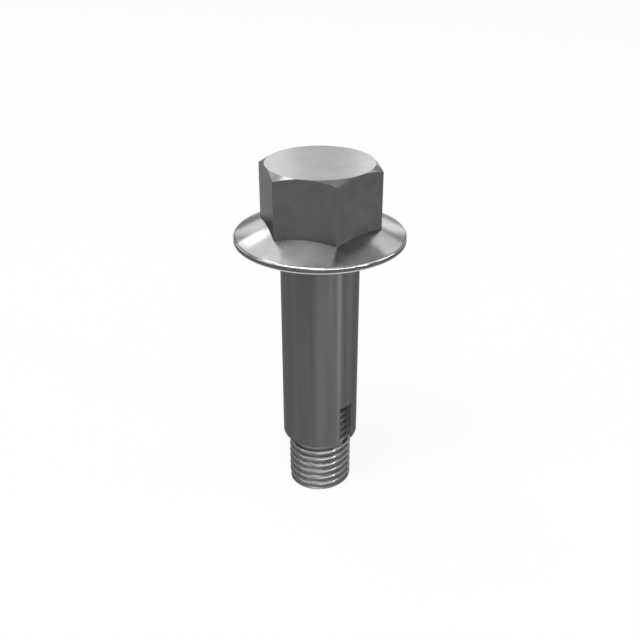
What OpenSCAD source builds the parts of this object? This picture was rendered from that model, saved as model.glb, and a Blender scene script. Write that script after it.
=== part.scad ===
// Hex flange bolt with a plain shoulder, a short keyway at the shoulder's foot and a metric thread.
// It stands on its threaded end. Z is up along the axis, and the keyway opens towards +X.

/* [Head] */
// Distance across the hexagon's flats
across_flats = 19; // [18:0.1:22]
// Height of the head, from the bearing face to the top
head_h = 13.85; // [12:0.05:18]
// Top circle's diameter over the distance across flats
top_circle_part = 0.995; // [0.92:0.005:1]
// Slope of the chamfer that takes off the hexagon's upper corners, in degrees
top_chamfer_deg = 30; // [20:1:40]

/* [Flange] */
// Diameter of the flange
flange_d = 30.4; // [28:0.1:36]
// Height at which the cone would meet the rim
rim_h = 1.05; // [0.9:0.05:1.6]
// Slope of the cone on top of the flange, in degrees
cone_deg = 22.5; // [15:0.5:27]
// Rounding of the rim's upper edge
rim_top_r = 0.5; // [0.3:0.05:0.6]
// Rounding of the rim's lower edge
rim_foot_r = 0.25; // [0.1:0.05:0.3]

/* [Shoulder] */
// Diameter of the plain shoulder under the head
shoulder_d = 14.25; // [13.5:0.05:16]
// Length of the shoulder, from the bearing face to the thread
shoulder_len = 40.2; // [20:0.1:60]
// Fillet where the shoulder meets the bearing face
fillet_r = 0.5; // [0.3:0.1:0.8]

/* [Keyway] */
// Width of the keyway at the shoulder's foot
keyway_w = 3; // [2:0.1:4]
// Length of the keyway, up from the shoulder's foot
keyway_len = 8; // [4:0.1:14]

/* [Thread] */
// Outside diameter of the thread
thread_d = 12; // [11.5:0.1:12.5]
// Rise of the thread in one turn
thread_pitch = 1.5; // [1.25:0.05:1.75]
// Length of the thread below the shoulder
thread_len = 11.1; // [8:0.1:18]
// Direction in which the crest meets the lower end, in degrees
thread_start_deg = -90; // [-180:5:180]

/* [Hidden] */
// One piece, so one node

// Heights along the axis
shoulder_z = thread_len;
bearing_z = shoulder_z + shoulder_len;
top_z = bearing_z + head_h;
keyway_z = shoulder_z + keyway_len;

// Radii
flange_r = flange_d / 2;
shoulder_r = shoulder_d / 2;
crest_r = thread_d / 2;
flat_r = across_flats / 2;
corner_r = flat_r / cos(30);
top_r = flat_r * top_circle_part;

// Basic thread form: the flanks stand 60 degrees apart, the crest is an eighth of the pitch wide
// and the root a quarter
crest_w = thread_pitch / 8;
root_w = thread_pitch / 4;
flank_w = (thread_pitch - crest_w - root_w) / 2;
thread_depth = flank_w / tan(30);
root_r = crest_r - thread_depth;

// Room that a cut or a join runs past the face it meets
over = 1;
// Wall between the keyway's cut and the root of the thread that runs on under it
keyway_core_gap = 0.4;
// How far the thread runs on into the solid shoulder above the keyway
thread_bury = 0.4;
// Radius at which the cone stops, hidden inside the hexagon
cone_inner_r = shoulder_r;

// Facets: segments of the thread in one turn, of a rounding and of a full circle
turn_steps = 48;
round_steps = 5;
circle_steps = 96;

bolt();

// The whole bolt, in bare steel
module bolt() {
  color("silver")
    union() {
      difference() {
        union() {
          turned_blank();
          hexagon();
        }
        keyway_cut();
      }
      thread(0, keyway_z + thread_bury);
    }
}

// Points of an arc in the profile: centre, radius, first and last angle
function arc(x, z, r, first_deg, last_deg) =
  [for (i = [0 : round_steps])
    let (a = first_deg + (last_deg - first_deg) * i / round_steps)
      [x + r * cos(a), z + r * sin(a)]];

// Height of the flange's cone over the bearing face at a radius
function cone_h(r) = rim_h + (flange_r - r) * tan(cone_deg);

// The shoulder and the flange, turned in one
module turned_blank() {
  // Centre of the rim's upper rounding, which touches both the cone and the rim
  rim_x = flange_r - rim_top_r;
  rim_z = cone_h(rim_x) - rim_top_r / cos(cone_deg);
  rotate_extrude($fn = circle_steps)
    translate([0, bearing_z])
      polygon(concat(
        [[0, -shoulder_len], [shoulder_r, -shoulder_len]],
        arc(shoulder_r + fillet_r, -fillet_r, fillet_r, 180, 90),
        arc(flange_r - rim_foot_r, rim_foot_r, rim_foot_r, -90, 0),
        arc(rim_x, rim_z, rim_top_r, 0, 90 - cone_deg),
        [[cone_inner_r, cone_h(cone_inner_r)], [0, cone_h(cone_inner_r)]]
      ));
}

// The hexagon with its upper corners turned off to a cone
module hexagon() {
  base_z = bearing_z + rim_h;
  chamfer_drop = (corner_r - top_r) * tan(top_chamfer_deg);
  intersection() {
    translate([0, 0, base_z])
      rotate([0, 0, 30])
        cylinder(r = corner_r, h = top_z - base_z, $fn = 6);
    rotate_extrude($fn = circle_steps)
      polygon([
        [0, bearing_z],
        [corner_r + over, bearing_z],
        [corner_r + over, top_z - chamfer_drop - over * tan(top_chamfer_deg)],
        [top_r, top_z],
        [0, top_z]
      ]);
  }
}

// The keyway's cut, open at the shoulder's foot, down to below the thread's root
module keyway_cut() {
  difference() {
    translate([0, -keyway_w / 2, shoulder_z - over])
      cube([shoulder_r + over, keyway_w, keyway_len + over]);
    cylinder(r = root_r - keyway_core_gap, h = keyway_z + over, $fn = circle_steps);
  }
}

// Radius and height of the thread's profile corners within one pitch, from the crest's lower edge
function thread_form() = [
  [crest_r, 0],
  [crest_r, crest_w],
  [root_r, crest_w + flank_w],
  [root_r, crest_w + flank_w + root_w]
];

// A right-hand thread from one height to another, as one closed helical skin trimmed flat
module thread(from_z, to_z) {
  form = thread_form();
  corners = len(form);
  turns = ceil((to_z - from_z) / thread_pitch) + 4;
  rows = turns * corners;
  // The middle of the crest meets the lower end in the first column
  start_z = from_z - 2 * thread_pitch - crest_w / 2;
  // Each column stands at one angle and holds the form's corners, raised by its share of a turn
  skin = [for (c = [0 : turn_steps - 1])
    for (k = [0 : rows])
      let (a = 360 * c / turn_steps, p = form[k % corners])
        [p[0] * cos(a), p[0] * sin(a),
          start_z + p[1] + thread_pitch * (floor(k / corners) + c / turn_steps)]];
  foot = len(skin);
  points = concat(skin, [
    [0, 0, start_z - thread_pitch],
    [0, 0, start_z + (turns + 2) * thread_pitch]
  ]);
  stride = rows + 1;
  last = turn_steps - 1;
  walls = [for (c = [0 : last - 1])
    for (k = [0 : rows - 1])
      for (t = [0, 1])
        let (i = c * stride + k, j = i + stride)
          t == 0 ? [i, i + 1, j + 1] : [i, j + 1, j]];
  // The last column meets the first one turn further up
  seam = [for (k = [0 : rows - corners - 1])
    for (t = [0, 1])
      let (i = last * stride + k, j = k + corners)
        t == 0 ? [i, i + 1, j + 1] : [i, j + 1, j]];
  foot_edge = concat([for (c = [0 : last]) c * stride], [for (k = [corners : -1 : 1]) k]);
  head_edge = concat([for (k = [rows - corners : rows - 1]) last * stride + k],
    [for (c = [last : -1 : 0]) c * stride + rows]);
  foot_fan = [for (i = [0 : len(foot_edge) - 1])
    [foot, foot_edge[i], foot_edge[(i + 1) % len(foot_edge)]]];
  head_fan = [for (i = [0 : len(head_edge) - 1])
    [foot + 1, head_edge[i], head_edge[(i + 1) % len(head_edge)]]];
  rotate([0, 0, thread_start_deg])
    intersection() {
      polyhedron(points = points, faces = concat(walls, seam, foot_fan, head_fan));
      translate([0, 0, from_z])
        cylinder(r = crest_r + over, h = to_z - from_z, $fn = circle_steps);
    }
}
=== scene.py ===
"""Hex flange bolt in dark steel with bright-turned faces, on a pale floor in soft studio light."""

import logging
import math
from collections.abc import Sequence
from dataclasses import dataclass, field, replace
from enum import Enum, auto

import bmesh
import bpy
import numpy as np
from mathutils import Matrix, Vector


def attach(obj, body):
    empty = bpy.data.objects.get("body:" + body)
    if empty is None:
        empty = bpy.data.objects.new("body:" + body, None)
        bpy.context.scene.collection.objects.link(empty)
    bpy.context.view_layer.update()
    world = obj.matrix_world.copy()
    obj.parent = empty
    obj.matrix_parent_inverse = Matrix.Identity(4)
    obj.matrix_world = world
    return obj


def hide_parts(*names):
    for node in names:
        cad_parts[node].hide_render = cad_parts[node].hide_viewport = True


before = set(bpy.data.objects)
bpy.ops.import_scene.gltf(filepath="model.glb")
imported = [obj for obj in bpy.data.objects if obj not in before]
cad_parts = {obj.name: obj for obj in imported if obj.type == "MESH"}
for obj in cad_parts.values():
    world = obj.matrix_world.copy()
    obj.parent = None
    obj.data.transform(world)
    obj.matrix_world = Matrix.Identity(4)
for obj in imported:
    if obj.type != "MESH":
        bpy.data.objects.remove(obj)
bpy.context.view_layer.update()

MM = 0.001
# Points closer than this are one point, which closes seams and poles
WELD = 1e-7
# Faces that meet at more than this angle keep a crisp edge between them
CRISP = math.radians(35.0)
# A rounding reaches along the shorter of its two sides by no more than this part of it
REACH_LIMIT = 0.45
# A supporting row stands beside each rounding, at this many times the rounding's reach
SUPPORT = 1.08
# The middle of a rounding of radius 1 stands this far in from both faces, which is 1 - cos 45
MID_INSET = 0.29
# Room for rounding errors when a face's place is compared, in millimetres
HAIR = 0.01
# Nearly all of a cloudy noise lies in this span, which is stretched to 0 to 1
NOISE_SPAN = (0.3, 0.7)
# Width and height of the picture in its own points
PICTURE_PX = 640.0
LOG = logging.getLogger("hex_flange_bolt")


# Small tools for surfaces


def round_corner(
    before: np.ndarray, corner: np.ndarray, after: np.ndarray, radius: float, steps: int
) -> np.ndarray:
    """Rounds the corner of a line with a short curve that touches both of its sides.

    The curve starts and ends where a circle of the radius would touch the two sides, within
    REACH_LIMIT of the shorter one, and between them it is the quadratic blend
    (1-s)^2 start + 2s(1-s) corner + s^2 end. One supporting point stands on each side.

    Args:
        before: Points ahead of the corner, one for each column, as rows of two numbers.
        corner: The corner in each column.
        after: Points behind the corner.
        radius: Radius of the rounding.
        steps: Number of short pieces in the curve.

    Returns:
        An array (steps + 3, columns, 2) from the first side to the second.
    """
    to_before = before - corner
    to_after = after - corner
    len_before = np.linalg.norm(to_before, axis=1, keepdims=True)
    len_after = np.linalg.norm(to_after, axis=1, keepdims=True)
    to_before = to_before / len_before
    to_after = to_after / len_after
    between = np.arccos(np.clip((to_before * to_after).sum(1, keepdims=True), -1, 1))
    shorter = np.minimum(len_before, len_after)
    reach = np.minimum(radius * np.tan(0.5 * (np.pi - between)), REACH_LIMIT * shorter)
    start = corner + to_before * reach
    end = corner + to_after * reach
    s = np.linspace(0.0, 1.0, steps + 1)[:, None, None]
    curve = (1 - s) ** 2 * start + 2 * s * (1 - s) * corner + s**2 * end
    first = corner + to_before * SUPPORT * reach
    last = corner + to_after * SUPPORT * reach
    return np.concatenate([first[None], curve, last[None]])


def rounded_profile(
    corners: Sequence[np.ndarray], radii: Sequence[float], steps: int = 4
) -> tuple[np.ndarray, list[tuple[int, int]]]:
    """Joins corners into one profile for each column, with the inner corners rounded.

    Args:
        corners: Arrays (columns, 2) of radius and height, in order along the profile.
        radii: Rounding at each corner; 0 keeps it sharp. The first and last count as sharp.
        steps: Number of short pieces in each rounding.

    Returns:
        The profile (rows, columns, 2), and the first and last row of each corner.
    """
    rows: list[np.ndarray] = [corners[0][None]]
    spans = [(0, 0)]
    count = 1
    for i in range(1, len(corners) - 1):
        if radii[i] > 0:
            part = round_corner(corners[i - 1], corners[i], corners[i + 1], radii[i], steps)
        else:
            part = corners[i][None]
        rows.append(part)
        spans.append((count, count + len(part) - 1))
        count += len(part)
    rows.append(corners[-1][None])
    spans.append((count, count))
    return np.concatenate(rows), spans


def same_for_all(point: tuple[float, float], columns: int) -> np.ndarray:
    """Repeats one profile point in every column."""
    return np.tile(np.asarray(point, float), (columns, 1))


def round_the_axis(angles: np.ndarray) -> np.ndarray:
    """Gives the point at each angle on a circle of radius 1: x = cos a, y = sin a."""
    return np.stack([np.cos(angles), np.sin(angles)], axis=1)


def level(section: np.ndarray, z: float) -> np.ndarray:
    """Lifts a flat section to a height."""
    return np.concatenate([section, np.full((len(section), 1), z)], axis=1)


def turn_profile(profile: np.ndarray, angles: np.ndarray) -> np.ndarray:
    """Places a profile round the axis: x = r cos a, y = r sin a, z = h.

    Args:
        profile: Array (rows, columns, 2) of radius and height.
        angles: Angle of each column, in radians.

    Returns:
        Points (rows, columns, 3).
    """
    r, h = profile[..., 0], profile[..., 1]
    return np.stack([r * np.cos(angles), r * np.sin(angles), h], axis=-1)


def grid_mesh(name: str, points: np.ndarray, band_slots: np.ndarray) -> bpy.types.Mesh:
    """Skins a grid of points whose first and last columns stand in the same place.

    Four neighbours make a face. The grid's own map has the length along the profile as its first
    number and the share of a turn as its second. Rows that meet in one point close a pole.

    Args:
        name: The mesh's name.
        points: Array (rows, columns, 3) in millimetres, with rows going up the outside.
        band_slots: Material slot of each band between two rows.

    Returns:
        A closed mesh in metres with smooth faces and crisp edges.
    """
    rows, columns = points.shape[:2]
    index = np.arange(rows * columns).reshape(rows, columns)
    faces = np.stack([index[:-1, :-1], index[:-1, 1:], index[1:, 1:], index[1:, :-1]], axis=-1)
    steps = np.linalg.norm(np.diff(points, axis=0), axis=2).mean(1)
    along = np.concatenate([[0.0], np.cumsum(steps)])
    share = np.arange(columns) / (columns - 1)
    flat_map = np.stack(np.broadcast_arrays(along[:, None], share[None, :]), axis=-1).reshape(-1, 2)
    mesh = bpy.data.meshes.new(name)
    mesh.from_pydata((points.reshape(-1, 3) * MM).tolist(), [], faces.reshape(-1, 4).tolist())
    loops = faces.reshape(-1)
    layer = mesh.uv_layers.new(name="profile_map")
    layer.data.foreach_set("uv", flat_map[loops].astype(np.float32).reshape(-1))
    slots = np.repeat(band_slots, columns - 1).astype(np.int32)
    mesh.polygons.foreach_set("material_index", slots)
    mesh.polygons.foreach_set("use_smooth", np.ones(len(mesh.polygons), bool))
    weld(mesh)
    mesh.set_sharp_from_angle(angle=CRISP)
    return mesh


def weld(mesh: bpy.types.Mesh) -> None:
    """Merges points that stand in one place, and drops the faces that this leaves without area.

    Args:
        mesh: The mesh.
    """
    work = bmesh.new()
    work.from_mesh(mesh)
    bmesh.ops.remove_doubles(work, verts=work.verts, dist=WELD)
    bmesh.ops.dissolve_degenerate(work, edges=work.edges, dist=WELD)
    work.to_mesh(mesh)
    work.free()
    mesh.update()


def face_centres(mesh: bpy.types.Mesh) -> np.ndarray:
    """Gives the middle of each face.

    Args:
        mesh: The mesh.

    Returns:
        An array (faces, 3) in millimetres.
    """
    centres = np.empty(3 * len(mesh.polygons))
    mesh.polygons.foreach_get("center", centres)
    return centres.reshape(-1, 3) / MM


def move_to_slot(mesh: bpy.types.Mesh, chosen: np.ndarray, slot: int) -> None:
    """Gives the chosen faces another material slot.

    Args:
        mesh: The mesh.
        chosen: True for each face that moves.
        slot: Its new slot.
    """
    slots = np.empty(len(mesh.polygons), dtype=np.int32)
    mesh.polygons.foreach_get("material_index", slots)
    mesh.polygons.foreach_set("material_index", np.where(chosen, slot, slots).astype(np.int32))


# Small tools for materials


def to_linear(hex_code: str) -> tuple[float, float, float, float]:
    """Turns an sRGB colour such as "8A8F96" into linear red, green, blue and alpha.

    Args:
        hex_code: Six hexadecimal digits.

    Returns:
        Four numbers for a colour socket.
    """
    srgb = np.array([int(hex_code[i : i + 2], 16) for i in (0, 2, 4)]) / 255.0
    linear = np.where(srgb <= 0.04045, srgb / 12.92, ((srgb + 0.055) / 1.055) ** 2.4)
    return (*linear.tolist(), 1.0)


def add_node(
    tree: bpy.types.NodeTree, kind: str, settings: dict[str, object] | None = None, **inputs: object
) -> bpy.types.Node:
    """Adds a node, sets its properties, and fills or links its inputs.

    Args:
        tree: The node tree.
        kind: The node's type name.
        settings: Properties of the node by name.
        **inputs: Inputs by name, with underscores for spaces, or by number as in i0. A value that
            is an output socket is linked, and anything else is set on the input.

    Returns:
        The new node.
    """
    node = tree.nodes.new(kind)
    for key, value in (settings or {}).items():
        setattr(node, key, value)
    for key, value in inputs.items():
        by_number = key[0] == "i" and key[1:].isdigit()
        socket = node.inputs[int(key[1:]) if by_number else key.replace("_", " ")]
        if isinstance(value, bpy.types.NodeSocket):
            tree.links.new(value, socket)
        else:
            socket.default_value = value
    return node


def distance_from_axis(tree: bpy.types.NodeTree, place: bpy.types.NodeSocket) -> bpy.types.NodeSocket:
    """Works out how far a point is from the bolt's axis, as the length of (x, y).

    Args:
        tree: The node tree.
        place: Object coordinates.

    Returns:
        The distance's socket.
    """
    parts = add_node(tree, "ShaderNodeSeparateXYZ", i0=place).outputs
    flat = add_node(tree, "ShaderNodeCombineXYZ", i0=parts[0], i1=parts[1]).outputs[0]
    return add_node(tree, "ShaderNodeVectorMath", {"operation": "LENGTH"}, i0=flat).outputs["Value"]


class Coat(Enum):
    """The bolt's finishes."""

    FORGED = auto()
    CUT = auto()
    TURNED = auto()
    GROUND = auto()
    ROLLED = auto()
    MILLED = auto()
    FACED = auto()
    # The keyway's ribs, painted darker as shade
    RIBS_IN_PAINTED_SHADE = auto()


@dataclass(frozen=True)
class Steel:
    """Bare steel: metal whose colour, roughness and fine relief wander about given values.

    Attributes:
        name: The material's name.
        dark: Colour of the darker places.
        light: Colour of the lighter places.
        patch_mm: Size of the cloudy patches.
        roughness: Lowest and highest roughness.
        edge_tint: Grey that holds back the gloss at a flat angle, as a thin oxide film does.
        line_mm: Spacing of the fine tool marks.
        line_depth_mm: Their depth.
        pit_mm: Size of the small pits of the skin.
        pit_depth_mm: Their depth.
        stretch: Scale factors of the patches along X, Y and Z; small numbers draw them out.
        anisotropy: How far the fine marks draw a highlight out across themselves.
        lines_by_radius: The marks are rings about the axis instead of levels along it.
    """

    name: str
    dark: str
    light: str
    patch_mm: float
    roughness: tuple[float, float]
    edge_tint: str
    line_mm: float
    line_depth_mm: float
    pit_mm: float
    pit_depth_mm: float
    stretch: tuple[float, float, float] = (1.0, 1.0, 1.0)
    anisotropy: float = 0.0
    lines_by_radius: bool = False

    def build(self) -> bpy.types.Material:
        """Makes the material from Object coordinates and the piece's own map.

        Returns:
            The material.
        """
        material = bpy.data.materials.new(self.name)
        material.use_nodes = True
        tree = material.node_tree
        tree.nodes.clear()
        place = add_node(tree, "ShaderNodeTexCoord").outputs["Object"]
        drawn = add_node(tree, "ShaderNodeMapping", i0=place, Scale=self.stretch).outputs[0]
        cloud = add_node(
            tree,
            "ShaderNodeTexNoise",
            Vector=drawn,
            Scale=1.0 / (self.patch_mm * MM),
            Detail=4.0,
            Roughness=0.55,
        ).outputs[0]
        low, high = NOISE_SPAN
        spread = add_node(tree, "ShaderNodeMapRange", i0=cloud, From_Min=low, From_Max=high).outputs[0]
        colour = self.colour(tree, place, spread)
        gloss = add_node(
            tree,
            "ShaderNodeMapRange",
            i0=spread,
            To_Min=self.roughness[0],
            To_Max=self.roughness[1],
        ).outputs[0]
        relief = self.relief(tree, place)
        tangent = add_node(
            tree, "ShaderNodeTangent", {"direction_type": "UV_MAP", "uv_map": "profile_map"}
        ).outputs[0]
        shader = add_node(
            tree,
            "ShaderNodeBsdfPrincipled",
            Base_Color=colour,
            Metallic=1.0,
            Roughness=gloss,
            Specular_Tint=to_linear(self.edge_tint),
            Anisotropic=self.anisotropy,
            Normal=relief,
            Tangent=tangent,
        ).outputs[0]
        add_node(tree, "ShaderNodeOutputMaterial", Surface=shader)
        return material

    def colour(
        self, tree: bpy.types.NodeTree, place: bpy.types.NodeSocket, spread: bpy.types.NodeSocket
    ) -> bpy.types.NodeSocket:
        """Mixes the dark and the light tone by the cloudy pattern.

        Args:
            tree: The node tree.
            place: Object coordinates.
            spread: The cloudy pattern, from 0 to 1.

        Returns:
            The colour's socket.
        """
        return add_node(
            tree,
            "ShaderNodeMix",
            {"data_type": "RGBA"},
            i0=spread,
            i6=to_linear(self.dark),
            i7=to_linear(self.light),
        ).outputs[2]

    def relief(self, tree: bpy.types.NodeTree, place: bpy.types.NodeSocket) -> bpy.types.NodeSocket:
        """Adds tool marks and small pits as bump.

        Args:
            tree: The node tree.
            place: Object coordinates.

        Returns:
            The normal's socket.
        """
        if self.lines_by_radius:
            across = distance_from_axis(tree, place)
        else:
            across = add_node(tree, "ShaderNodeSeparateXYZ", i0=place).outputs[2]
        line = add_node(
            tree,
            "ShaderNodeTexNoise",
            {"noise_dimensions": "1D"},
            W=across,
            Scale=1.0 / (self.line_mm * MM),
            Detail=2.0,
        ).outputs[0]
        marks = add_node(
            tree, "ShaderNodeBump", Strength=1.0, Distance=self.line_depth_mm * MM, Height=line
        ).outputs[0]
        pits = add_node(
            tree, "ShaderNodeTexNoise", Vector=place, Scale=1.0 / (self.pit_mm * MM), Detail=3.0
        ).outputs[0]
        return add_node(
            tree,
            "ShaderNodeBump",
            Strength=1.0,
            Distance=self.pit_depth_mm * MM,
            Height=pits,
            Normal=marks,
        ).outputs[0]


@dataclass(frozen=True)
class ThreadSteel(Steel):
    """Steel of a rolled thread, with crests of their own tone and a dark line on each flank.

    Attributes:
        crest: Colour of the crests.
        line: Colour of the painted shade line that runs between crest and root.
        crest_from_mm: Radius at which the crest's colour is reached.
        shade_line_mid_mm: Radius of the line's middle.
        shade_line_half_mm: Distance over which the line fades out to both sides.
    """

    crest: str = "8C8C8C"
    line: str = "505050"
    crest_from_mm: float = 5.98
    shade_line_mid_mm: float = 5.67
    shade_line_half_mm: float = 0.1

    def colour(
        self, tree: bpy.types.NodeTree, place: bpy.types.NodeSocket, spread: bpy.types.NodeSocket
    ) -> bpy.types.NodeSocket:
        """Mixes the cloudy tone with the crest's and the line's tone by the distance from the axis.

        The painted shade line's share falls evenly from 1 at its middle to 0 at both sides, as the
        product of a rise and a fall.

        Args:
            tree: The node tree.
            place: Object coordinates.
            spread: The cloudy pattern, from 0 to 1.

        Returns:
            The colour's socket.
        """
        base = super().colour(tree, place, spread)
        radius = distance_from_axis(tree, place)
        mid, half = self.shade_line_mid_mm * MM, self.shade_line_half_mm * MM
        crest_from = self.crest_from_mm * MM
        rise = add_node(tree, "ShaderNodeMapRange", i0=radius, From_Min=mid - half, From_Max=mid).outputs[0]
        fall = add_node(tree, "ShaderNodeMapRange", i0=radius, From_Min=mid + half, From_Max=mid).outputs[0]
        share = add_node(tree, "ShaderNodeMath", {"operation": "MULTIPLY"}, i0=rise, i1=fall).outputs[0]
        high = add_node(tree, "ShaderNodeMapRange", i0=radius, From_Min=mid, From_Max=crest_from).outputs[0]
        crested = add_node(
            tree, "ShaderNodeMix", {"data_type": "RGBA"}, i0=high, i6=base, i7=to_linear(self.crest)
        ).outputs[2]
        # Painted shade: a dark ring on each flank, between the crest and the root
        return add_node(
            tree, "ShaderNodeMix", {"data_type": "RGBA"}, i0=share, i6=crested, i7=to_linear(self.line)
        ).outputs[2]


# Hexagon's sides and the rim's edge: steel pressed hot in a die and left with its thin dark skin,
# so they are dim, smooth to the touch and faintly cloudy
FORGED_STEEL = Steel(
    name="forged_steel_dark_skin",
    dark="545454",
    light="5E5E5E",
    patch_mm=2.6,
    roughness=(0.26, 0.34),
    edge_tint="C8C8C8",
    line_mm=0.6,
    line_depth_mm=0.0002,
    pit_mm=0.35,
    pit_depth_mm=0.0006,
)

# Cone, the rim's roundings and the bearing face: steel turned bright on a lathe, so fine rings
# about the axis draw each highlight out towards the middle
TURNED_STEEL = Steel(
    name="turned_steel_bright",
    dark="C2C2C2",
    light="CECECE",
    patch_mm=2.0,
    roughness=(0.18, 0.22),
    edge_tint="D0D0D0",
    anisotropy=0.75,
    line_mm=0.12,
    line_depth_mm=0.0002,
    lines_by_radius=True,
    pit_mm=0.3,
    pit_depth_mm=0.0002,
)

# Shoulder: steel ground to size and darkened, so its marks go round it and draw each highlight
# out into a soft streak along its length
GROUND_STEEL = Steel(
    name="ground_steel_dark",
    dark="575757",
    light="636363",
    patch_mm=1.6,
    stretch=(1.0, 1.0, 0.04),
    roughness=(0.34, 0.38),
    edge_tint="C8C8C8",
    anisotropy=0.92,
    line_mm=0.15,
    line_depth_mm=0.00015,
    pit_mm=0.3,
    pit_depth_mm=0.0002,
)

# Thread: steel rolled between dies, which leaves bright smooth flanks and duller crests; the thin
# dark line on each flank is painted shade
ROLLED_STEEL = ThreadSteel(
    name="rolled_steel_thread",
    dark="ACACAC",
    light="B8B8B8",
    patch_mm=1.2,
    roughness=(0.14, 0.18),
    edge_tint="E0E0E0",
    line_mm=0.2,
    line_depth_mm=0.0001,
    pit_mm=0.25,
    pit_depth_mm=0.0002,
)

# Chamfer over the hexagon: steel cut bright on the lathe in one pass, so its marks draw the light
# out a little and each corner has a glint of its own
CUT_STEEL = Steel(
    name="cut_steel_chamfer",
    dark="B4B4B4",
    light="BEBEBE",
    patch_mm=2.0,
    roughness=(0.20, 0.24),
    edge_tint="C8C8C8",
    anisotropy=0.5,
    line_mm=0.12,
    line_depth_mm=0.0001,
    lines_by_radius=True,
    pit_mm=0.3,
    pit_depth_mm=0.0002,
)

# Top face: steel faced off on the lathe and then polished, so its rings hardly draw the light out
# and the face mirrors the studio as a soft cloud
FACED_STEEL = Steel(
    name="faced_steel_bright",
    dark="C2C2C2",
    light="CECECE",
    patch_mm=3.0,
    roughness=(0.17, 0.21),
    edge_tint="D0D0D0",
    line_mm=0.12,
    line_depth_mm=0.0001,
    lines_by_radius=True,
    pit_mm=0.3,
    pit_depth_mm=0.0001,
)

# Keyway's walls and end: steel milled last and left matt, so it is light but mirrors nothing
MILLED_STEEL = Steel(
    name="milled_steel_matt",
    dark="A0A0A0",
    light="AAAAAA",
    patch_mm=0.8,
    roughness=(0.42, 0.50),
    edge_tint="C8C8C8",
    line_mm=0.15,
    line_depth_mm=0.0003,
    pit_mm=0.25,
    pit_depth_mm=0.0004,
)

# Ribs on the keyway's floor: the same steel as the keyway, painted darker as shade inside the keyway's
# recess
RIB_STEEL_PAINTED_SHADE = replace(MILLED_STEEL, name="milled_steel_painted_shade", dark="747474", light="7E7E7E")

FINISHES: dict[Coat, Steel] = {
    Coat.FORGED: FORGED_STEEL,
    Coat.CUT: CUT_STEEL,
    Coat.TURNED: TURNED_STEEL,
    Coat.GROUND: GROUND_STEEL,
    Coat.ROLLED: ROLLED_STEEL,
    Coat.MILLED: MILLED_STEEL,
    Coat.FACED: FACED_STEEL,
    Coat.RIBS_IN_PAINTED_SHADE: RIB_STEEL_PAINTED_SHADE,
}


@dataclass
class Wardrobe:
    """Builds each finish once and puts it on pieces.

    Attributes:
        materials: The finished materials by finish.
    """

    materials: dict[Coat, bpy.types.Material] = field(default_factory=dict)

    def dress(self, mesh: bpy.types.Mesh, coats: Sequence[Coat]) -> None:
        """Fills a mesh's material slots in order.

        Args:
            mesh: The mesh.
            coats: The finish of each slot.
        """
        for coat in coats:
            if coat not in self.materials:
                self.materials[coat] = FINISHES[coat].build()
            mesh.materials.append(self.materials[coat])


# The bolt's pieces


@dataclass
class Bolt:
    """Heights and main sizes of the bolt in millimetres, with Z up its axis and 0 at its foot.

    Attributes:
        across_flats: Distance across the hexagon's flats.
        head_h: Height of the head over the bearing face.
        flange_d: Diameter of the flange.
        shoulder_d: Diameter of the shoulder.
        shoulder_len: Length of the shoulder.
        thread_d: Outside diameter of the thread.
        thread_pitch: Rise of the thread in one turn.
        thread_len: Length of the thread below the shoulder.
        keyway_w: Width of the keyway, which opens towards +X.
        keyway_len: Length of the keyway.
    """

    across_flats: float = 19.0
    head_h: float = 13.85
    flange_d: float = 30.4
    shoulder_d: float = 14.25
    shoulder_len: float = 40.2
    thread_d: float = 12.0
    thread_pitch: float = 1.5
    thread_len: float = 11.1
    keyway_w: float = 3.0
    keyway_len: float = 8.0

    @property
    def bearing_z(self) -> float:
        """Height of the bearing face under the flange."""
        return self.thread_len + self.shoulder_len

    @property
    def top_z(self) -> float:
        """Height of the top."""
        return self.bearing_z + self.head_h

    @property
    def keyway_z(self) -> float:
        """Height at which the keyway ends."""
        return self.thread_len + self.keyway_len


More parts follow.
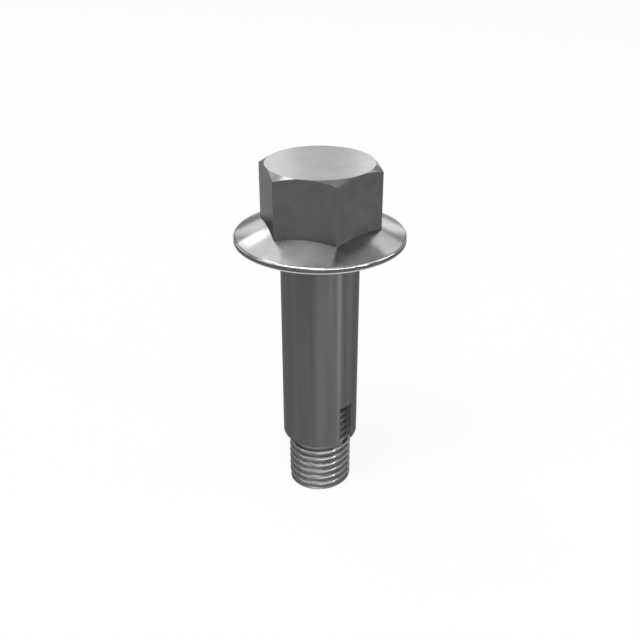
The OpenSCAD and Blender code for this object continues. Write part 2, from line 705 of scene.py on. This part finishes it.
@dataclass
class Hexagon:
    """The hexagon with its upper corners turned off to a cone.

    Attributes:
        bolt: The bolt's main sizes.
        top_part: Diameter of the top circle over the distance across flats.
        chamfer_deg: Slope of the chamfer.
        corner_r: Rounding of the six upright edges.
        edge_r: Rounding of the edges along the chamfer.
        sunk_z: Height over the bearing face at which the hexagon starts, inside the flange.
        side_steps: Columns on one flat.
        corner_steps: Columns on one upright edge.
        side_gap_deg: Angle between the last column of a flat and the first of an upright edge.
        disc_rings: Rings on the top face.
    """

    bolt: Bolt
    top_part: float = 0.995
    chamfer_deg: float = 30.0
    corner_r: float = 0.16
    edge_r: float = 0.08
    sunk_z: float = 1.05
    side_steps: int = 26
    corner_steps: int = 6
    side_gap_deg: float = 0.35
    disc_rings: int = 8

    def outline(self) -> tuple[np.ndarray, np.ndarray]:
        """Works out the rounded hexagon as radius over angle.

        A flat at distance f from the axis has radius f / cos d at d degrees from its own
        direction. Each upright edge is an arc of the corner radius about a centre on the corner's
        direction, (f - corner radius) / cos 30 out.

        Returns:
            Angle and radius of each column, once round, with the first column repeated.
        """
        f = self.bolt.across_flats / 2
        centre = (f - self.corner_r) / math.cos(math.radians(30))
        turn = np.radians(np.linspace(-30.0, 30.0, self.corner_steps + 1))
        arc = self.corner_r * round_the_axis(turn) + np.array([centre, 0.0])
        arc_angle = np.arctan2(arc[:, 1], arc[:, 0])
        arc_radius = np.hypot(arc[:, 0], arc[:, 1])
        reach = math.radians(30 - self.side_gap_deg) - arc_angle[-1]
        side_angle = np.linspace(-reach, reach, self.side_steps - 1)
        one_angle = np.concatenate([side_angle, arc_angle + math.radians(30)])
        one_radius = np.concatenate([f / np.cos(side_angle), arc_radius])
        sides = np.radians(60.0 * np.arange(6))
        angles = (sides[:, None] + one_angle[None, :]).reshape(-1)
        radii = np.tile(one_radius, len(sides))
        return np.append(angles, angles[0] + 2 * np.pi), np.append(radii, radii[0])

    def build(self, wardrobe: Wardrobe) -> bpy.types.Object:
        """Carries each column's profile from the foot up the side, over the chamfer to the top.

        The chamfer drops by (r - top circle's radius) times the tangent of its slope, so its edge
        on a flat is a curve that is highest in the flat's middle.

        Args:
            wardrobe: The finishes.

        Returns:
            The piece.
        """
        angles, radii = self.outline()
        columns = len(angles)
        top_r = self.bolt.across_flats / 2 * self.top_part
        top_z = self.bolt.top_z
        foot_z = self.bolt.bearing_z + self.sunk_z
        edge_z = top_z - (radii - top_r) * math.tan(math.radians(self.chamfer_deg))
        foot = np.stack([radii, np.full(columns, foot_z)], axis=1)
        brow = np.stack([radii, edge_z], axis=1)
        lip = np.stack([np.full(columns, top_r), np.full(columns, top_z)], axis=1)
        middle = [same_for_all((0.0, z), columns) for z in (foot_z, top_z)]
        corners = [middle[0], foot, brow, lip, middle[1]]
        profile, spans = rounded_profile(corners, [0.0, 0.0, self.edge_r, self.edge_r, 0.0])
        rings = np.linspace(1.0, 0.0, self.disc_rings + 1)[1:, None, None]
        disc = profile[-2][None] * np.concatenate([rings, np.ones_like(rings)], axis=2)
        profile = np.concatenate([profile[:-1], disc])
        bands = np.arange(len(profile) - 1)
        sides_end, chamfer_end = spans[2][1], sum(spans[3]) // 2
        slots = np.select([bands < sides_end, bands < chamfer_end], [0, 1], 2)
        mesh = grid_mesh("hexagon", turn_profile(profile, angles), slots)
        wardrobe.dress(mesh, [Coat.FORGED, Coat.CUT, Coat.FACED])
        return place_piece("hexagon", mesh)


@dataclass
class FlangeAndShoulder:
    """The flange, the shoulder and the keyway at its foot, in one skin.

    Attributes:
        bolt: The bolt's main sizes.
        rim_h: Height at which the cone would meet the rim.
        cone_deg: Slope of the cone.
        rim_top_r: Rounding of the rim's upper edge.
        rim_foot_r: Rounding of the rim's lower edge.
        fillet_r: Fillet between shoulder and bearing face.
        edge_r: Rounding of the edges of the shoulder's foot and of the keyway.
        floor_r: Radius of the keyway's floor, which the thread hides.
        hub_gap: How far the end face's inner ring, its hub, is in from the keyway's floor.
        hub_spread: Angle that the hub keeps clear behind the keyway, over the keyway's own.
        row_gap: Height next to an edge that has no row but the edge's own.
        round_steps: Columns on the plain part of a turn.
        wall_steps: Columns on a wall of the keyway.
        floor_steps: Columns on its floor.
        keyway_rows: Rows along the keyway.
        rounding_steps: Pieces in each rounding of the flange.
        lip_steps: Pieces in the rounding of the keyway's outer edges.
        dark_steps: Bands of the rim's upper rounding that are as dark as the rim.
    """

    bolt: Bolt
    rim_h: float = 1.05
    cone_deg: float = 22.5
    rim_top_r: float = 0.5
    rim_foot_r: float = 0.25
    fillet_r: float = 0.5
    edge_r: float = 0.12
    floor_r: float = 4.8
    hub_gap: float = 0.4
    hub_spread: float = 1.15
    row_gap: float = 1.0
    round_steps: int = 200
    wall_steps: int = 6
    floor_steps: int = 8
    keyway_rows: int = 6
    rounding_steps: int = 8
    lip_steps: int = 4
    dark_steps: int = 3

    def keyway_line(self) -> np.ndarray:
        """Works out the keyway's section from its lower to its upper edge.

        Each wall is a straight line half the keyway's width beside the X axis, from the floor's
        circle out to the shoulder's, and its outer corner is rounded.

        Returns:
            Points (columns, 2) in X and Y.
        """
        half = self.bolt.keyway_w / 2
        outer = self.bolt.shoulder_d / 2
        rim_x = math.sqrt(outer**2 - half**2)
        floor_x = math.sqrt(self.floor_r**2 - half**2)
        # A point beside the edge, three roundings away, gives the rounding its direction there
        beside = math.asin(half / outer) + 3 * self.edge_r / outer
        side = outer * round_the_axis(np.array([beside]))
        corner = np.array([[rim_x, half]])
        inside = np.array([[floor_x, half]])
        lip = round_corner(side, corner, inside, self.edge_r, self.lip_steps)[1:-1, 0]
        wall_x = np.linspace(lip[-1, 0] - self.edge_r, floor_x, self.wall_steps)
        wall = np.stack([wall_x, np.full_like(wall_x, half)], axis=1)
        floor_angle = np.linspace(math.asin(half / self.floor_r), 0.0, self.floor_steps // 2 + 1)[1:]
        upper = np.concatenate([lip, wall, self.floor_r * round_the_axis(floor_angle)])
        lower = upper[:-1] * np.array([1.0, -1.0])
        return np.concatenate([lower, upper[::-1]])

    def sections(self) -> tuple[np.ndarray, np.ndarray, np.ndarray]:
        """Works out the circle of the shoulder with the keyway let in.

        Returns:
            The angle of each column, the section (columns, 2), and which columns are the keyway's.
        """
        key = self.keyway_line()
        rim_angle = math.atan2(key[-1, 1], key[-1, 0])
        gap = np.linspace(-rim_angle, rim_angle, len(key))
        plain = np.linspace(rim_angle, 2 * np.pi - rim_angle, self.round_steps + 1)[1:-1]
        angles = np.concatenate([gap, plain, [2 * np.pi - rim_angle]])
        in_key = np.arange(len(angles)) < len(key)
        in_key[-1] = True
        notched = self.bolt.shoulder_d / 2 * round_the_axis(angles)
        notched[: len(key)] = key
        notched[-1] = key[0]
        return angles, notched, in_key

    def hub(self, angles: np.ndarray, notched: np.ndarray, in_key: np.ndarray) -> np.ndarray:
        """Works out the inner ring of the shoulder's end face.

        Behind the keyway's floor the ring is that floor, drawn in by the gap. The other columns
        near the keyway gather at the two ends of this stretch, so that no face crosses the keyway.

        Args:
            angles: Angle of each column.
            notched: The section with the keyway let in.
            in_key: Which columns are the keyway's.

        Returns:
            Points (columns, 2) in X and Y.
        """
        hub_r = self.floor_r - self.hub_gap
        spread = self.hub_spread * math.asin(self.bolt.keyway_w / 2 / hub_r)
        turn = (angles + np.pi) % (2 * np.pi) - np.pi
        ends = hub_r * round_the_axis(np.sign(turn) * spread)
        ring = np.where((np.abs(turn) < spread)[:, None], ends, hub_r * round_the_axis(angles))
        on_floor = in_key & (np.hypot(notched[:, 0], notched[:, 1]) < self.floor_r + HAIR)
        return np.where(on_floor[:, None], notched * (hub_r / self.floor_r), ring)

    def foot(self, angles: np.ndarray, notched: np.ndarray, in_key: np.ndarray) -> np.ndarray:
        """Stacks the shoulder's sections from its end face to just above the keyway.

        Below the keyway's end a section is the circle with the keyway let in, and above it the
        plain circle. The row between them is the keyway's flat end. The edge of the end face is
        rounded on the plain part of the turn, and the upper edge of the keyway's end in the keyway.

        Args:
            angles: Angle of each column.
            notched: The section with the keyway let in.
            in_key: Which columns are the keyway's.

        Returns:
            Points (rows, columns, 3).
        """
        r = self.edge_r
        foot_z, end_z = self.bolt.thread_len, self.bolt.keyway_z
        outward = r * round_the_axis(angles)
        round_foot = np.where(in_key[:, None], 0.0, outward)
        round_end = np.where(in_key[:, None], outward, 0.0)
        plain = self.bolt.shoulder_d / 2 * round_the_axis(angles)
        hub = self.hub(angles, notched, in_key)
        # Inset and rise of a rounding's rows, as parts of its radius
        rounding = ((SUPPORT, 0.0), (1.0, 0.0), (MID_INSET, MID_INSET), (0.0, 1.0), (0.0, SUPPORT))
        between = np.linspace(foot_z + self.row_gap, end_z - self.row_gap / 2, self.keyway_rows)
        rows = [level(0.0 * hub, foot_z), level(hub, foot_z)]
        rows += [level(notched - inset * round_foot, foot_z + rise * r) for inset, rise in rounding]
        rows += [level(notched, z) for z in between]
        rows += [level(notched, end_z)]
        rows += [level(plain - inset * round_end, end_z + rise * r) for inset, rise in rounding]
        return np.stack(rows)

    def in_keyway(self, mesh: bpy.types.Mesh) -> np.ndarray:
        """Finds the faces of the keyway's walls, floor and end.

        Args:
            mesh: The skin.

        Returns:
            True for each face that lies deeper than one and a half roundings, from the shoulder's
            end face up to the keyway's end.
        """
        x, y, z = face_centres(mesh).T
        deep = np.hypot(x, y) < self.bolt.shoulder_d / 2 - 1.5 * self.edge_r
        return deep & (z > self.bolt.thread_len + HAIR) & (z < self.bolt.keyway_z + HAIR)

    def build(self, wardrobe: Wardrobe) -> bpy.types.Object:
        """Joins the shoulder's sections and the flange's turned profile into one skin.

        Args:
            wardrobe: The finishes.

        Returns:
            The piece.
        """
        angles, notched, in_key = self.sections()
        foot = self.foot(angles, notched, in_key)
        head, spans = self.flange_profile(len(angles))
        points = np.concatenate([foot, turn_profile(head, angles)])
        bands = np.arange(len(points) - 1) - len(foot)
        on_shoulder = bands < sum(spans[1]) // 2
        on_rim = (bands >= spans[2][1]) & (bands < spans[3][0] + self.dark_steps)
        mesh = grid_mesh("flange_and_shoulder", points, np.select([on_shoulder, on_rim], [0, 1], 2))
        move_to_slot(mesh, self.in_keyway(mesh), 3)
        wardrobe.dress(mesh, [Coat.GROUND, Coat.FORGED, Coat.TURNED, Coat.MILLED])
        return place_piece("flange_and_shoulder", mesh)

    def flange_profile(self, columns: int) -> tuple[np.ndarray, list[tuple[int, int]]]:
        """Works out the profile from just above the keyway over the rim to the axis.

        The cone's height over the bearing face is the rim's height plus the distance in from the
        rim times the tangent of the cone's slope. The cone stops inside the hexagon.

        Args:
            columns: Number of columns.

        Returns:
            The profile, and the first and last row of each corner.
        """
        base = self.bolt.bearing_z
        rim = self.bolt.flange_d / 2
        outer = self.bolt.shoulder_d / 2
        cone_top = base + self.rim_h + (rim - outer) * math.tan(math.radians(self.cone_deg))
        spots = [
            (outer, self.bolt.keyway_z + self.row_gap),
            (outer, base),
            (rim, base),
            (rim, base + self.rim_h),
            (outer, cone_top),
            (0.0, cone_top),
        ]
        corners = [same_for_all(spot, columns) for spot in spots]
        radii = [0.0, self.fillet_r, self.rim_foot_r, self.rim_top_r, 0.0, 0.0]
        return rounded_profile(corners, radii, steps=self.rounding_steps)


@dataclass
class Thread:
    """The right-hand thread as one helical skin, which also runs on under the keyway.

    Attributes:
        bolt: The bolt's main sizes.
        start_deg: Angle at which the middle of the crest meets the lower end.
        crest_r: Rounding of the crest's edges.
        root_r: Rounding of the root's corners.
        bury: How far the thread runs on above the keyway.
        lead: Turns by which the untrimmed helix is longer than the thread, at each end.
        turn_steps: Columns in one turn.
    """

    bolt: Bolt
    start_deg: float = -90.0
    crest_r: float = 0.08
    root_r: float = 0.2
    bury: float = 0.4
    lead: int = 2
    turn_steps: int = 160

    def form(self) -> np.ndarray:
        """Works out one pitch of the thread as height and radius.

        The flanks stand 60 degrees apart, the crest is an eighth of the pitch wide and the root a
        quarter, and all four corners are rounded.

        Returns:
            Points (rows, 2) of height from the crest's middle and radius, over one pitch.
        """
        pitch = self.bolt.thread_pitch
        crest = pitch / 8
        root = pitch / 4
        flank = (pitch - crest - root) / 2
        high = self.bolt.thread_d / 2
        low = high - flank / math.tan(math.radians(30))
        spots = [
            (0.0, high),
            (crest / 2, high),
            (crest / 2 + flank, low),
            (crest / 2 + flank + root, low),
            (pitch - crest / 2, high),
            (pitch, high),
        ]
        corners = [same_for_all(spot, 1) for spot in spots]
        radii = [0.0, self.crest_r, self.root_r, self.root_r, self.crest_r, 0.0]
        line, _ = rounded_profile(corners, radii)
        return line[:, 0]

    def build(self, wardrobe: Wardrobe) -> bpy.types.Object:
        """Carries the form up a helix and trims it flat at both ends.

        A point of the form at height v in turn k stands at z = start + v + pitch (k + a / 360)
        when it has gone round by the angle a. Points beyond an end move to the place at which
        the form crosses it.

        Args:
            wardrobe: The finishes.

        Returns:
            The piece.
        """
        pitch = self.bolt.thread_pitch
        low_z, high_z = 0.0, self.bolt.keyway_z + self.bury
        start_z = low_z - self.lead * pitch
        line = self.form()
        turns = math.ceil((high_z - low_z) / pitch) + 2 * self.lead
        v = (line[:-1, 0][None, :] + pitch * np.arange(turns)[:, None]).reshape(-1)
        r = np.tile(line[:-1, 1], turns)
        share = np.linspace(0.0, 1.0, self.turn_steps + 1)
        raw = start_z + v[:, None] + pitch * share[None, :]

        def cut(z: float) -> np.ndarray:
            """Gives the form's radius where each column crosses a height."""
            return np.interp((z - start_z - pitch * share) % pitch, line[:, 0], line[:, 1])

        def disc(rim: np.ndarray, z: float, parts: tuple[float, float]) -> np.ndarray:
            """Gives the two rows of an end face, as parts of the rim's radius."""
            return np.stack([np.stack([rim * part, np.full_like(rim, z)], axis=-1) for part in parts])

        below, above = cut(low_z), cut(high_z)
        radius = np.where(raw < low_z, below, np.where(raw > high_z, above, r[:, None]))
        helix = np.stack([radius, np.clip(raw, low_z, high_z)], axis=-1)
        foot = disc(below, low_z, (0.0, 0.5))
        head = disc(above, high_z, (0.5, 0.0))
        profile = np.concatenate([foot, helix, head])
        angles = math.radians(self.start_deg) + 2 * np.pi * share
        mesh = grid_mesh("thread", turn_profile(profile, angles), np.zeros(len(profile) - 1))
        # Thread faces inside the keyway take the darker rib steel, painted shade for the recess
        move_to_slot(mesh, face_centres(mesh)[:, 2] > self.bolt.thread_len, 1)
        wardrobe.dress(mesh, [Coat.ROLLED, Coat.RIBS_IN_PAINTED_SHADE])
        return place_piece("thread", mesh)


def place_piece(name: str, mesh: bpy.types.Mesh) -> bpy.types.Object:
    """Puts a mesh in the scene as a part of the bolt.

    Args:
        name: The piece's name.
        mesh: Its mesh, in place.

    Returns:
        The piece, riding on the part's one body in place of its solid.
    """
    piece = bpy.data.objects.new(name, mesh)
    bpy.context.scene.collection.objects.link(piece)
    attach(piece, "root")
    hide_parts("bolt")
    return piece


# The studio


@dataclass(frozen=True)
class SoftPanel:
    """A soft rectangular lamp that faces the bolt.

    Attributes:
        name: The lamp's name.
        side_deg: Direction from the bolt, in degrees to the right of the camera's.
        height_deg: Elevation over the floor.
        width_deg: Width as seen from the bolt.
        tall_deg: Height as seen from the bolt.
        brightness: Brightness of its face, where white paper in plain light has 1.
        distance: Distance from the bolt, in metres.
    """

    name: str
    side_deg: float
    height_deg: float
    width_deg: float
    tall_deg: float
    brightness: float
    distance: float = 1.5


@dataclass
class Studio:
    """Floor, surroundings, lamps and camera.

    Attributes:
        camera_at: The camera's place, in metres.
        aim_z: Height of the point on the axis that it looks at, in metres.
        focal_px: Focal length in points of the picture.
        floor_r: Radius of the floor, in metres.
        floor_steps: Columns of the floor.
        paper: Colour of the floor's paper.
        fade_from: Distance from the axis up to which the floor is white, in metres.
        fade_to: Distance from which it is as grey as the studio, in metres.
        white_share: Part of its tone that is plain white and shows no shadow.
        studio_light: Brightness of the studio all round.
        panels: The soft lamps.
    """

    camera_at: tuple[float, float, float] = (0.09821, -0.09866, 0.109743)
    aim_z: float = 0.03496
    focal_px: float = 854.05
    floor_r: float = 6.0
    floor_steps: int = 96
    paper: str = "F4F4F4"
    fade_from: float = 0.75
    fade_to: float = 1.5
    white_share: float = 0.87
    studio_light: float = 0.30
    panels: tuple[SoftPanel, ...] = ()

    def build(self) -> None:
        """Builds everything that isn't part of the bolt."""
        self.floor()
        self.surroundings()
        for panel in self.panels:
            self.lamp(panel)
        self.camera()

    @staticmethod
    def seen_or_mirrored(tree: bpy.types.NodeTree) -> bpy.types.NodeSocket:
        """Tells rays from the camera, a mirror or a glass from the others.

        Args:
            tree: The node tree.

        Returns:
            The socket that is 1 for such a ray and 0 for others.
        """
        path = add_node(tree, "ShaderNodeLightPath").outputs
        either = add_node(
            tree,
            "ShaderNodeMath",
            {"operation": "MAXIMUM"},
            i0=path["Is Camera Ray"],
            i1=path["Is Glossy Ray"],
        ).outputs[0]
        return add_node(
            tree, "ShaderNodeMath", {"operation": "MAXIMUM"}, i0=either, i1=path["Is Transmission Ray"]
        ).outputs[0]

    def floor(self) -> None:
        """Lays a round paper floor, which fades to the studio's grey outside the picture.

        Seen or mirrored, it is white but for a faint shadow. Its paper gives other rays back what
        the lamps lay on it.
        """
        angles = np.linspace(0.0, 2 * np.pi, self.floor_steps + 1)
        reach = np.stack([same_for_all((r / MM, 0.0), len(angles)) for r in (self.floor_r, 0.0)])
        mesh = grid_mesh("floor", turn_profile(reach, angles), np.zeros(1))
        floor = bpy.data.objects.new("floor", mesh)
        bpy.context.scene.collection.objects.link(floor)
        material = bpy.data.materials.new("floor_paper")
        material.use_nodes = True
        tree = material.node_tree
        tree.nodes.clear()
        place = add_node(tree, "ShaderNodeTexCoord").outputs["Object"]
        away = add_node(tree, "ShaderNodeVectorMath", {"operation": "LENGTH"}, i0=place).outputs["Value"]
        tone = add_node(
            tree,
            "ShaderNodeMapRange",
            {"interpolation_type": "SMOOTHSTEP"},
            i0=away,
            From_Min=self.fade_from,
            From_Max=self.fade_to,
            To_Min=1.0,
            To_Max=self.studio_light,
        ).outputs[0]
        paper = add_node(tree, "ShaderNodeBsdfDiffuse", Color=to_linear(self.paper)).outputs[0]
        white = add_node(tree, "ShaderNodeEmission", Color=to_linear("FFFFFF"), Strength=tone).outputs[0]
        share = add_node(
            tree,
            "ShaderNodeMath",
            {"operation": "MULTIPLY"},
            i0=self.seen_or_mirrored(tree),
            i1=self.white_share,
        ).outputs[0]
        mixed = add_node(tree, "ShaderNodeMixShader", i0=share, i1=paper, i2=white).outputs[0]
        add_node(tree, "ShaderNodeOutputMaterial", Surface=mixed)
        mesh.materials.append(material)

    def surroundings(self) -> None:
        """Makes the world a plain, evenly dim studio, which lights the bolt softly from all sides."""
        world = bpy.data.worlds.new("studio")
        bpy.context.scene.world = world
        world.use_nodes = True
        tree = world.node_tree
        tree.nodes.clear()
        light = add_node(
            tree, "ShaderNodeBackground", Color=to_linear("FFFFFF"), Strength=self.studio_light
        ).outputs[0]
        add_node(tree, "ShaderNodeOutputWorld", Surface=light)

    def lamp(self, panel: SoftPanel) -> None:
        """Hangs a soft lamp that mirrors in the steel and isn't seen itself.

        Args:
            panel: The lamp's place, size and brightness.
        """
        light = bpy.data.lights.new(panel.name, "AREA")
        light.shape = "RECTANGLE"
        light.size = 2 * panel.distance * math.tan(math.radians(panel.width_deg / 2))
        light.size_y = 2 * panel.distance * math.tan(math.radians(panel.tall_deg / 2))
        # A lamp of power W and face A has brightness W / (pi A)
        light.energy = panel.brightness * math.pi * light.size * light.size_y
        lamp = bpy.data.objects.new(panel.name, light)
        bpy.context.scene.collection.objects.link(lamp)
        a = math.atan2(self.camera_at[1], self.camera_at[0]) + math.radians(panel.side_deg)
        e = math.radians(panel.height_deg)
        out = Vector((math.cos(a) * math.cos(e), math.sin(a) * math.cos(e), math.sin(e)))
        aim = Vector((0.0, 0.0, self.aim_z))
        turn = (-out).to_track_quat("-Z", "Y").to_matrix().to_4x4()
        lamp.matrix_world = Matrix.Translation(aim + out * panel.distance) @ turn
        lamp.visible_camera = False

    def camera(self) -> None:
        """Sets up the camera at the photograph's viewing angle."""
        camera = bpy.data.cameras.new("camera")
        camera.sensor_fit = "HORIZONTAL"
        camera.sensor_width = 36.0
        camera.lens = camera.sensor_width * self.focal_px / PICTURE_PX
        camera.clip_start = 0.01
        camera.clip_end = 50.0
        mount = bpy.data.objects.new("camera", camera)
        bpy.context.scene.collection.objects.link(mount)
        at = Vector(self.camera_at)
        ahead = Vector((0.0, 0.0, self.aim_z)) - at
        turn = ahead.to_track_quat("-Z", "Y").to_matrix().to_4x4()
        mount.matrix_world = Matrix.Translation(at) @ turn
        bpy.context.scene.camera = mount


# Each lamp stands where the steel mirrors a bright place in the photograph: its name, the
# direction, height, width and tallness in degrees, and the brightness
PANELS = (
    # Behind the bolt, mirrored by the top face and by the near side of the cone
    SoftPanel("back_left_hot", -156.0, 31.0, 9.0, 9.0, 2.8),
    SoftPanel("back_left_soft", -152.0, 45.0, 20.0, 20.0, 0.75),
    SoftPanel("back_left_low", -163.0, 18.0, 12.0, 14.0, 1.0),
    SoftPanel("back_left_strip", -174.5, 20.0, 6.0, 16.0, 1.2),
    SoftPanel("back_mid_strip", 179.4, 20.0, 6.0, 16.0, 0.65),
    SoftPanel("back_right_strip", 173.5, 20.0, 6.0, 16.0, 1.3),
    SoftPanel("back_right_low", 164.0, 14.0, 12.0, 16.0, 1.2),
    SoftPanel("back_right", 155.0, 34.0, 14.0, 16.0, 0.6),
    SoftPanel("back_left_top", -147.0, 63.0, 14.0, 10.0, 0.65),
    # High up, for the chamfer's glints, the cone's bright fans and the thread's flanks
    SoftPanel("right_chamfer", 139.0, 34.0, 14.0, 20.0, 0.6),
    SoftPanel("glint_left", -121.0, 57.0, 10.0, 10.0, 5.8),
    SoftPanel("front_top_left", -56.0, 56.0, 24.0, 18.0, 5.2),
    SoftPanel("front_top_mid", -26.0, 66.0, 26.0, 18.0, 5.6),
    SoftPanel("front_top", 0.0, 42.0, 44.0, 20.0, 1.8),
    SoftPanel("over_right", 85.0, 76.0, 20.0, 12.0, 0.35),
    # Halfway up at both sides, mirrored by the rim's rounding as one thin line
    SoftPanel("ring_right", 72.0, 38.0, 50.0, 14.0, 1.7),
    SoftPanel("ring_left", -70.0, 34.0, 40.0, 16.0, 1.2),
    # Low down, for the hexagon's sides and the soft streaks along the shoulder
    SoftPanel("front_low", 6.0, 10.0, 34.0, 16.0, 3.6),
    SoftPanel("low_left", -75.0, 10.0, 24.0, 16.0, 1.2),
    SoftPanel("low_far_left", -120.0, 10.0, 30.0, 16.0, 1.0),
    SoftPanel("right_streak", 55.0, 7.0, 10.0, 14.0, 16.0),
    SoftPanel("right_low", 34.0, 10.0, 20.0, 16.0, 4.6),
    SoftPanel("right_mid_low", 92.0, 10.0, 30.0, 16.0, 3.0),
)


def main() -> None:
    """Builds the bolt and the studio."""
    logging.basicConfig(level=logging.INFO, format="%(message)s")
    bolt = Bolt()
    wardrobe = Wardrobe()
    for part in (Hexagon(bolt), FlangeAndShoulder(bolt), Thread(bolt)):
        piece = part.build(wardrobe)
        LOG.info("%s: %d faces", piece.name, len(piece.data.polygons))
    Studio(panels=PANELS).build()
    bpy.context.scene.view_settings.view_transform = "Standard"


if __name__ == "__main__":
    main()
